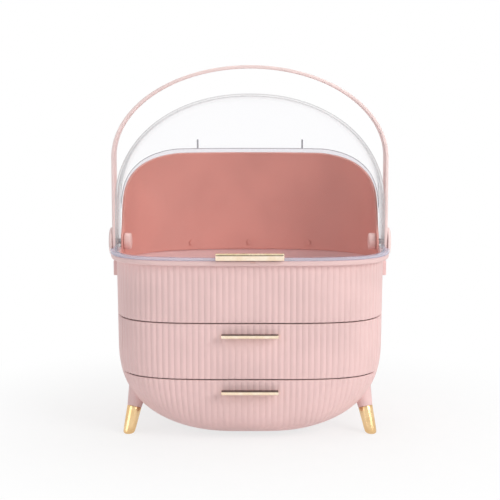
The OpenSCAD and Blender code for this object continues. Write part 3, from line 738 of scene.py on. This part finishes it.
# %% Sizes of the dome
DOME_H, STRAIGHT_H = 164.8 * MM, 51.3 * MM
ARCH_SQUARE, CROWN_SQUARE = 2.12, 2.3  # powers of the dome, across and from front to back
LID_OUT, LID_WALL = 0.4 * MM, 2.2 * MM
SHELL_OUT, SHELL_WALL = 3.6 * MM, 2.4 * MM
EDGE_RUN, EDGE_RISE, SHELL_H, EDGE_ROUND = 79 * MM, 19 * MM, 91.5 * MM, 1.43
LAP, SKIRT, EAR = 2.0 * MM, 22 * MM, 13 * MM
FLANGE_Z = RIM_Z + 0.3 * MM
PIVOT_ROUND = 4.8 * MM
SEARCH_LOW = AXIS_Z - 30 * MM
RIM_ANGLE = radians(50)
NO_WIDTH, NO_TURN = 1e-7, 1e-9
print("the dome's top is at", round(RIM_Z + DOME_H, 4))


# %% The dome's surface and the curve that parts it
def dome(z, inset):
    """The dome's section at a height, drawn in by its height over the tray's rim."""
    rise = min(1.0, max(0.0, (z - RIM_Z) / (DOME_H - inset)))
    arch = min(1.0, max(0.0, (z - RIM_Z - STRAIGHT_H) / (DOME_H - STRAIGHT_H - inset)))
    crown = (1 - rise ** CROWN_SQUARE) ** (1 / CROWN_SQUARE)
    return [(HALF_W + LID_OUT - inset) * (1 - arch ** ARCH_SQUARE) ** (1 / ARCH_SQUARE),
            (FRONT + LID_OUT - inset) * crown, (BACK + LID_OUT - inset) * crown]


def parting_height(back):
    """How high over the hinge axis the shell's edge runs, a distance behind it."""
    t = min(1.0, max(0.0, back / EDGE_RUN))
    rise = (SHELL_H - EDGE_RISE) * (1 - (1 - t) ** EDGE_ROUND) ** (1 / EDGE_ROUND)
    return EDGE_RISE + rise + min(0.0, back)


def lid_edge(back):
    """The lid's lower edge over the axis: its flat foot, the round at the pivot, then the lap."""
    if back <= 0:
        return FLANGE_Z - AXIS_Z
    if back < PIVOT_ROUND:
        return -sqrt(PIVOT_ROUND ** 2 - back ** 2)
    return parting_height(back - LAP) - LAP


def dome_point(bearing, z, inset):
    section = dome(z, inset)
    if min(section) < NO_WIDTH:
        return Vector((0, AXIS_Y, z))
    return at_height([plan_point(section, bearing)], z)[0]


def edge_on_dome(bearing, edge, inset):
    """The height at which the dome crosses an edge curve, at one bearing."""
    def is_over(z):
        return z >= AXIS_Z + edge(dome_point(bearing, z, inset).y - AXIS_Y)

    return halved(SEARCH_LOW, RIM_Z + DOME_H - inset - MM, is_over)


def plan_bearings(count, extra=()):
    """Bearings at even steps of running length round the plan, with some added."""
    lengths = lengths_along(RIM_PLAN, 0.0, pi, 360)
    evenly = [bearing_at(lengths, pi, lengths[-1] * i / count) for i in range(count + 1)]
    one_side = sorted(set(evenly) | set(extra))
    return [-b for b in reversed(one_side[1:])] + one_side


def hard_edges(bm):
    return [edge for edge in bm.edges
            if len(edge.link_faces) == 2 and edge.calc_face_angle() > RIM_ANGLE]


def thickened(bm, wall, rim_radius):
    """Gives a shell its wall, inward, and rounds the rim that this makes."""
    cleaned(bm)
    middle = Vector((0, AXIS_Y, RIM_Z))
    highest = max(bm.faces, key=lambda face: face.calc_center_median().z)
    if highest.normal.dot(highest.calc_center_median() - middle) < 0:
        bmesh.ops.reverse_faces(bm, faces=bm.faces)
    bmesh.ops.solidify(bm, geom=bm.faces[:], thickness=wall)
    round_off(bm, hard_edges(bm), rim_radius, 3)
    return bm


# %% [markdown]
# ## Back shell
# The shell stands in the tray and carries the hinge. Its rows run from the skirt to the parting
# curve, then the wall's thickness is added inward and the rim is rounded, which is what catches
# the light along its top edge.

# %% Back shell
SHELL_LOW, SHELL_RIM = AXIS_Z - SKIRT, 0.9 * MM
SHELL_STEPS, SHELL_ROWS = 150, 44
ear_turn = atan2(HALF_W + LID_OUT - SHELL_OUT, EAR)
around_back = sorted(b % (2 * pi) for b in plan_bearings(SHELL_STEPS, (ear_turn,))
                     if abs(b) >= ear_turn - NO_TURN)
tops = [edge_on_dome(b, parting_height, SHELL_OUT) for b in around_back]
shell_rows = [[dome_point(b, SHELL_LOW + (top - SHELL_LOW) * (j / SHELL_ROWS), SHELL_OUT)
               for b, top in zip(around_back, tops)] for j in range(SHELL_ROWS + 1)]
shell_bm = thickened(grid_through(shell_rows), SHELL_WALL, SHELL_RIM)
finish_piece("curved_back_shell", shell_bm, SHADED_SHELL_PINK, "case", ["back_shell"],
             recalc=False)

# %% [markdown]
# ## Clear lid
# Clear plastic shows itself by its gloss and its rims. Glass with real refraction would be slow and
# noisy here, so the wall is a mix of see-through and gloss, more glossy where the eye grazes it.
# There its colour also turns darker: a painted dark outline where refraction would darken the edge.
# The rims carry light along inside the plastic and read as a cool grey, so the flange, the band and
# the line over the shell have denser finishes of the same kind.


# %% Clear plastics
def clear_plastic(name, tint, body, edge, veil, gloss, narrow=6.0, shine=0.5):
    """See-through plastic: veil is its gloss where the eye meets it squarely."""
    material, principled, place = shader(name, IOR=1.5, Specular_IOR_Level=shine)
    tree = material.node_tree
    haze = place.noise(9.0, 3.0)
    ripple = place.noise(22.0, 1.0)
    facing = place.node("LayerWeight", {"Blend": 0.5}, output=1)
    bump = place.node("Bump", {"Height": ripple, "Distance": 0.25 * MM, "Strength": 0.35})
    # Where the eye grazes the surface the colour turns to edge, a painted darker outline.
    painted_outline_mask = facing.between(0.8, 0.97)
    feed(principled,
         Base_Color=painted_outline_mask.mixed(body, edge),
         Roughness=0.05 + haze * 0.05,
         Normal=bump)
    through = place.node("BsdfTransparent", {"Color": tint})
    share = veil + haze * 0.005 + facing.maths("POWER", facing, narrow) * gloss
    glossy = Signal(tree, principled.outputs[0])
    mixed = place.node("MixShader", {0: share, 1: through, 2: glossy})
    tree.links.new(mixed.socket, tree.nodes["Material Output"].inputs["Surface"])
    return material


# The clear wall's edge colour is dark grey: its painted dark outline.
CLEAR = clear_plastic("clear_wall", (0.997, 0.997, 1.0, 1.0), rgb(240, 242, 246),
                      rgb(52, 54, 60), 0.006, 0.95, narrow=9.0, shine=0.06)
CLEAR_RIM = clear_plastic("clear_rim", rgb(246, 247, 254), rgb(238, 240, 252),
                          rgb(196, 200, 222), 0.36, 0.4)
CLEAR_BAND = clear_plastic("clear_band", rgb(250, 250, 252), rgb(254, 254, 255),
                           rgb(236, 238, 242), 0.1, 0.2)
CLEAR_LINE = clear_plastic("clear_line", rgb(226, 227, 231), rgb(182, 184, 190),
                           rgb(150, 152, 160), 0.55, 0.3)
print("clear plastics ready")

# %% [markdown]
# The lid's wall is a grid over the dome whose first row follows the lid's edge. Close to the hinge
# that edge turns round the pivot, so some bearings are added there.

# %% Lid wall
LID_STEPS, LID_ROWS, LID_RIM, LOWEST_SINE = 170, 56, 0.35 * MM, -0.2
round_pivot = [pi / 2 + atan2(y * MM, HALF_W) for y in (1.2, 2.4, 3.6, 4.3, 4.7, 4.85)]
lid_bearings = plan_bearings(LID_STEPS, round_pivot)[:-1] + [pi]
feet = [edge_on_dome(b, lid_edge, 0.0) for b in lid_bearings]
lid_rows = []
for j in range(LID_ROWS + 1):
    row = []
    for bearing, foot_z in zip(lid_bearings, feet):
        start = asin(min(1.0, max(LOWEST_SINE, (foot_z - RIM_Z) / DOME_H)))
        turn = start + (pi / 2 - start) * j / LID_ROWS
        row.append(dome_point(bearing, foot_z if j == 0 else RIM_Z + DOME_H * sin(turn), 0.0))
    lid_rows.append(row)
lid_bm = thickened(grid_through(lid_rows), LID_WALL, LID_RIM)
finish_piece("clear_dome", lid_bm, CLEAR, "lid", ["clear_lid"], recalc=False)

# %% [markdown]
# The lid's foot is a flange that rests on the tray's ledge. It is wide round the front, narrow
# where the handle passes, and it ends in front of the hinge's washers. A plain square profile is
# carried along the plan, and its edges are bevelled afterwards.

# %% Lid flange
FLANGE_H, FLANGE_OUT, FLANGE_WIDE, FLANGE_END = 2.8 * MM, 5.2 * MM, 46 * MM, 7.6 * MM
FLANGE_ROUND, FLANGE_STEPS, STRAP_GAP = 0.5 * MM, 180, 0.3 * MM
STRAP_IN = HALF_W + LID_OUT + 2.2 * MM
wide_turn = atan2(HALF_W + LID_OUT + FLANGE_OUT, FLANGE_WIDE)
back_turn = atan2(HALF_W + LID_OUT, FLANGE_END)
lid_plan = [v + LID_OUT for v in RIM_PLAN]
flange_rows = []
for out_part, z in round_profile(0.0, 1.0, 0.0, 1.0, (0.0, 0.0, 0.0, 0.0), 1):
    row = []
    for i in range(FLANGE_STEPS + 1):
        bearing = -back_turn + 2 * back_turn * i / FLANGE_STEPS
        outer = plan_point([v + FLANGE_OUT for v in lid_plan], bearing)
        if abs(bearing) > wide_turn:
            outer.x = copysign(min(abs(outer.x), STRAP_IN - STRAP_GAP), outer.x)
        inner = plan_point([v - LID_WALL / 2 for v in lid_plan], bearing)
        row.append(inner.lerp(outer, out_part))
    flange_rows.append(at_height(row, FLANGE_Z + FLANGE_H * z))
flange_bm = close_ends(grid_through(flange_rows + [flange_rows[0]]))
bmesh.ops.recalc_face_normals(flange_bm, faces=flange_bm.faces)
round_off(flange_bm, hard_edges(flange_bm), FLANGE_ROUND, 2)
finish_piece("lid_foot_flange", flange_bm, CLEAR_RIM, "lid", ["lid_flange"])

# %% [markdown]
# Along its back edge the lid is moulded double, which shows as a pale band over the shell's top,
# with a grey line where the band ends. Two little ribs stiffen the wall above it.

# %% Lid back band and line
BAND, LINE, BAND_START, BAND_AHEAD = 5.7 * MM, 0.7 * MM, 0.3 * MM, 6 * MM
band_turn = pi / 2 + atan2(BAND_AHEAD, HALF_W)
band_places = sorted((b % (2 * pi), z) for b, z in zip(lid_bearings, feet)
                     if abs(b) > band_turn)[:-1]


def back_strip(start, tall, proud):
    """A strip of the lid's inner face along its back edge, from a height over that edge."""
    rises = (start, start + tall / 2, start + tall)
    ways = [(0.0, z) for z in rises] + [(proud, z) for z in reversed(rises)] + [(0.0, start)]
    rows = [[dome_point(b, z + rise, LID_WALL + inset) for b, z in band_places]
            for inset, rise in ways]
    return close_ends(grid_through(rows))


finish_piece("lid_back_band", back_strip(BAND_START, BAND, 0.5 * MM), CLEAR_BAND, "lid", ())
finish_piece("lid_back_line", back_strip(BAND + BAND_START, LINE, 0.6 * MM), CLEAR_LINE, "lid", ())

# %% Lid ribs
RIB_X, RIB_FOOT, RIB_BEHIND = 62 * MM, 6.5 * MM, BACK * 0.78
RIB_SIZE, RIB_SINK = Vector((2.0 * MM, 2.4 * MM, 10.5 * MM)), Vector((0, -0.9 * MM, 0))
clear_ribs = []
for side in (-1, 1):
    bearing = pi - side * atan2(RIB_X, RIB_BEHIND)
    foot_z = edge_on_dome(bearing, lid_edge, 0.0)
    place = dome_point(bearing, foot_z + RIB_FOOT + RIB_SIZE.z / 2, LID_WALL)
    clear_ribs.append(rounded_block(place + RIB_SINK, RIB_SIZE, 0.5 * MM, 2))
finish_piece("lid_back_ribs", joined(clear_ribs), CLEAR_LINE, "lid", ())

# %% [markdown]
# ## Handle
# The strap is one bent strip: straight up from the pivots, then an elliptical arch. A curve with a
# bevel could make it too, but not its round ends. Here its rows go round the strip's rounded
# section, and its half width shrinks to nothing at both ends, which makes them round.

# %% Strap
STRAP_T, STRAP_W, HANDLE_H, CROWN_H = 3.6 * MM, 26 * MM, 190 * MM, 99 * MM
STRAP_EDGE, LEAST_HALF = 1.3 * MM, 0.02 * MM
END_STEPS, STRAIGHT_STEPS, ARCH_STEPS, CORNER_STEPS = 14, 20, 300, 5
MID_X = STRAP_IN + STRAP_T / 2
MID_CROWN = CROWN_H - STRAP_T / 2


def strap_path():
    """(x, z) points, outward normals and half widths from one round end over the arch."""
    half = STRAP_W / 2
    straight = HANDLE_H - CROWN_H
    left = Vector((-1, 0))
    places = []
    for i in range(END_STEPS + 1):
        turn = pi / 2 * i / END_STEPS
        low = Vector((-MID_X, AXIS_Z - half * cos(turn)))
        places.append((low, left, half * sin(turn)))
    for i in range(1, STRAIGHT_STEPS):
        places.append((Vector((-MID_X, AXIS_Z + straight * i / STRAIGHT_STEPS)), left, half))
    leg_count = len(places)
    for i in range(ARCH_STEPS + 1):
        a = pi * (1 - i / ARCH_STEPS)
        point = Vector((MID_X * cos(a), AXIS_Z + straight + MID_CROWN * sin(a)))
        normal = Vector((cos(a) / MID_X, sin(a) / MID_CROWN)).normalized()
        places.append((point, normal, half))
    return places + [(Vector((-p.x, p.y)), Vector((-n.x, n.y)), w)
                     for p, n, w in reversed(places[:leg_count])]


def strap_section(half):
    """(outward, across) points round the strap's section, with rounded long edges."""
    edge = min(STRAP_EDGE, half * 0.98)
    flat, wide = STRAP_T / 2 - edge, half - edge
    points = []
    for turn, out, across in ((0, 1, 1), (90, -1, 1), (180, -1, -1), (270, 1, -1)):
        for i in range(CORNER_STEPS + 1):
            a = radians(turn + 90 * i / CORNER_STEPS)
            points.append((out * flat + edge * cos(a), across * wide + edge * sin(a)))
    return points + [points[0]]


strap_rows = []
for point, normal, half in strap_path():
    row = []
    for out, across in strap_section(max(half, LEAST_HALF)):
        place = point + normal * out
        row.append(Vector((place.x, AXIS_Y + across, place.y)))
    strap_rows.append(row)
finish_piece("carry_strap", close_ends(grid_through(strap_rows)), STRAP_PINK, "handle",
             ["carry_handle"], smooth=50)

# %% [markdown]
# Each pivot ends in a domed cap outside and a round nut inside. Both are turned forms, spun from
# one profile whose points give their small steps and rounds.

# %% Pivot caps and nuts
PIN_BORE, CAP_RIM, CAP_STEPS = 3.05 * MM, 2.7 * MM, 12


def ends_of(node, outward):
    """A turned node's radius and depth, and the face it is built from."""
    low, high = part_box(node)
    return (high.z - low.z) / 2, high.x - low.x, low.x if outward > 0 else high.x


for name, side in (("left", -1), ("right", 1)):
    radius, depth, face = ends_of("pivot_cap_" + name, side)
    profile = [(PIN_BORE, 0), (radius - 0.7 * MM, 0), (radius - 0.2 * MM, 0.25 * MM),
               (radius, 0.8 * MM), (radius, 1.5 * MM), (radius - 0.25 * MM, 2.1 * MM),
               (radius - 0.9 * MM, 2.6 * MM)]
    for i in range(1, CAP_STEPS):
        a = pi / 2 * i / CAP_STEPS
        profile.append((radius * 0.92 * cos(a), CAP_RIM + (depth - CAP_RIM) * sin(a)))
    cap_bm = spun(profile + [(0, depth)], (face, AXIS_Y, AXIS_Z), (side, 0, 0), 72)
    finish_piece("domed_cap_" + name, cap_bm, STRAP_PINK, "handle", ["pivot_cap_" + name],
                 recalc=False)
    radius, depth, face = ends_of("pivot_nut_" + name, -side)
    profile = [(PIN_BORE, 0), (radius - 0.4 * MM, 0), (radius, 0.4 * MM), (radius, depth - 2 * MM),
               (radius - 0.5 * MM, depth - 0.9 * MM), (radius - 1.6 * MM, depth - 0.3 * MM),
               (radius - 3.2 * MM, depth), (2.4 * MM, depth), (1.9 * MM, depth - 0.5 * MM),
               (0, depth - 0.6 * MM)]
    nut_bm = spun(profile, (face, AXIS_Y, AXIS_Z), (-side, 0, 0), 56)
    finish_piece("inner_boss_" + name, nut_bm, BOSS_PINK, "case", ["pivot_nut_" + name],
                 recalc=False)

# %% [markdown]
# ## Pulls
# The drawers' pulls are plated plates with softly rounded edges that stand straight out of the
# ribs. The lid's pull is wider. Its plate lies on the flange and its lip hooks down in front, so a
# finger can catch it. Plate and lip are two blocks with a web between them. A small catch on the
# ledge under the pull holds the lid shut.

# %% Drawer pulls
for name, body in (("upper", "upper_drawer"), ("lower", "lower_drawer")):
    low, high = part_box(name + "_pull")
    plate = rounded_block((low + high) / 2, high - low, 0.75 * MM, 4)
    finish_piece(name + "_plated_pull", plate, PULL_GOLD, body, [name + "_pull"])

# %% Lid pull
PLATE_H, PLATE_D, LIP_STEP, PULL_SEAM = 4.5 * MM, 5.2 * MM, 1.3 * MM, 0.5 * MM
PULL_DROP, PLATE_ROUND, LIP_ROUND = 0.7 * MM, 0.6 * MM, 0.9 * MM
WEB_INSET, WEB_T, WEB_DROP, WEB_ROUND = 4 * MM, 2 * MM, 2.2 * MM, 0.2 * MM
low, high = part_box("lid_pull")
high.z -= PULL_DROP
lip_back = high.y - PLATE_D
plate_low = Vector((low.x, lip_back + PULL_SEAM, high.z - PLATE_H))
lip_high = Vector((high.x, lip_back, high.z - LIP_STEP))
plate = rounded_block((plate_low + high) / 2, high - plate_low, PLATE_ROUND, 4)
lip = rounded_block((low + lip_high) / 2, lip_high - low, LIP_ROUND, 5)
web = rounded_block(Vector((0, lip_back, high.z - LIP_STEP - WEB_DROP)),
                    Vector((high.x - low.x - WEB_INSET, WEB_T, WEB_T)), WEB_ROUND, 1)
# The lip's upward faces carry the pulls' painted dark reflection.
finish_piece("lid_pull_lip", joined([lip, web]), PULL_GOLD, "lid", ["lid_pull"])
finish_piece("lid_pull_plate", plate, PALE_GOLD, "lid", ())

# %% Lid catch
CATCH_SIZE = Vector((5.6 * MM, 1.4 * MM, 1.8 * MM))
catch_place = Vector((2.9 * MM, AXIS_Y - FRONT - LEDGE_OUT + 0.1 * MM, RIM_Z - 1.3 * MM))
catch = rounded_block(catch_place, CATCH_SIZE, 0.35 * MM)
finish_piece("lid_catch", catch, INNER_PINK, "case", ())

# %% [markdown]
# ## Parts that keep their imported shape
# The drawers' trays, the shelf, its rails and the small metal parts are right as they are. They
# only get a finish.

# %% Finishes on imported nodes
nodes = frame["nodes"]
kept_finishes = (
    (INNER_PINK, ("middle_shelf", "upper_runners", "lower_rails", "upper_drawer_tray",
                  "lower_drawer_tray")),
    (SHADED_SHELL_PINK, ("shell_screws",)),
    (STEEL, ("tray_screws", "leg_screws", "lid_pull_screws", "upper_pull_screws",
             "lower_pull_screws", "pivot_pin_left", "pivot_pin_right")),
    (WASHER_WHITE, ("handle_washer_left", "handle_washer_right")))
for material, names in kept_finishes:
    for name in names:
        for slot in nodes[name].material_slots:
            slot.material = material
print("packed nodes:", len(nodes))

# %% [markdown]
# ## Floor, light and camera
# The case stands on a pale floor that fades to white away from it and keeps its shadow near it. A
# large soft lamp on the right gives the ribs their shading, a weaker one fills from the left, one
# hangs above, and the world is white to the camera and in reflections but dim as a light.


# %% Floor
def white_to_eye(tree, lit, white):
    """Shows white to the camera and to mirror rays, and lit to other light."""
    path = tree.nodes.new("ShaderNodeLightPath")
    camera, glossy, through = (Signal(tree, path.outputs[n]) for n in
                               ("Is Camera Ray", "Is Glossy Ray", "Is Transmission Ray"))
    seen = camera.maths("MAXIMUM", camera.maths("MAXIMUM", camera, glossy), through)
    return seen.node("MixShader", {0: seen, 1: lit, 2: white})


FLOOR_HALF, SHADOW_LOW, SHADOW_HIGH, LEAST_GLOW = 6.0, 0.16, 0.42, 0.75
WHITE = (1.0, 1.0, 1.0, 1.0)
floor_bm = bmesh.new()
bmesh.ops.create_grid(floor_bm, x_segments=2, y_segments=2, size=FLOOR_HALF)
floor_mesh = bpy.data.meshes.new("studio_floor")
floor_bm.to_mesh(floor_mesh)
floor_bm.free()
floor = add_object("studio_floor", floor_mesh)
floor_material, floor_shader, floor_place = shader("floor_paper", Roughness=0.9)
paper = floor_place.noise(30.0, 4.0)
paper_tone = paper.between(0.2, 0.8).mixed(rgb(250, 250, 250), rgb(253, 253, 253))
feed(floor_shader, Base_Color=paper_tone)
away = floor_place.node("VectorMath", {0: floor_place}, output=1, operation="LENGTH")
glow = away.node("Emission", {"Color": WHITE, "Strength": 1.0})
tree = floor_material.node_tree
paper_lit = Signal(tree, floor_shader.outputs[0])
share = away.between(SHADOW_LOW, SHADOW_HIGH) * (1 - LEAST_GLOW) + LEAST_GLOW
keeps_shadow = away.node("MixShader", {0: share, 1: paper_lit, 2: glow})
shown_floor = white_to_eye(tree, paper_lit, keeps_shadow)
tree.links.new(shown_floor.socket, tree.nodes["Material Output"].inputs["Surface"])
floor.data.materials.append(floor_material)

# %% World
WORLD_LIGHT = 0.36
MIRRORED_TOP = (0.45, 0.44, 0.44, 1.0)  # what plating reflects from straight above
world = bpy.data.worlds.new("studio_world")
bpy.context.scene.world = world
world.use_nodes = True
sky = world.node_tree
sky.nodes.clear()
path = sky.nodes.new("ShaderNodeLightPath")
to_camera = Signal(sky, path.outputs["Is Camera Ray"])
dim = to_camera.node("Background", {"Color": WHITE, "Strength": WORLD_LIGHT})
direction = to_camera.node("TexCoord")
height = direction.node("SeparateXYZ", {0: direction}, output=2)
mirrored = height.between(0.35, 0.75).mixed(WHITE, MIRRORED_TOP)
backdrop = to_camera.mixed(mirrored, WHITE)
bright = backdrop.node("Background", {"Color": backdrop, "Strength": 1.0})
shown = white_to_eye(sky, dim, bright)
output = sky.nodes.new("ShaderNodeOutputWorld")
sky.links.new(shown.socket, output.inputs["Surface"])
print("floor and world ready")


# %% Lamps
AIM = Vector((0, 0, 0.2))


def soft_lamp(name, place, size, power, color=(1.0, 1.0, 1.0)):
    """A square area lamp at a place, turned to the middle of the case."""
    lamp = bpy.data.lights.new(name, "AREA")
    lamp.shape = "RECTANGLE"
    lamp.size = lamp.size_y = size
    lamp.energy = power
    lamp.color = color
    holder = add_object(name, lamp)
    holder.location = place
    holder.rotation_euler = (AIM - Vector(place)).to_track_quat("-Z", "Y").to_euler()
    print(name, power, "W")


soft_lamp("key_lamp", (1.25, -1.15, 0.95), 0.9, 16.0, (1.0, 0.985, 0.965))
soft_lamp("fill_lamp", (-1.5, -1.2, 0.7), 1.2, 6.0, (0.97, 0.985, 1.0))
soft_lamp("top_lamp", (0.1, 0.3, 1.6), 1.4, 9.0)

# %% [markdown]
# The photograph shows the case from straight in front and a little above, through a long lens.

# %% Camera
LENS_MM, SENSOR_MM, TILT = 99.0, 36.0, radians(82.5)
CAMERA_PLACE = (0.0001, -1.4872 + AXIS_Y, 0.3794)
camera = bpy.data.cameras.new("photo_camera")
camera.lens = LENS_MM
camera.sensor_width = SENSOR_MM
camera_holder = add_object("photo_camera", camera)
camera_holder.location = CAMERA_PLACE
camera_holder.rotation_euler = (TILT, 0.0, 0.0)
bpy.context.scene.camera = camera_holder
bpy.context.scene.view_settings.view_transform = "Standard"
print("camera at", [round(v, 4) for v in camera_holder.location])
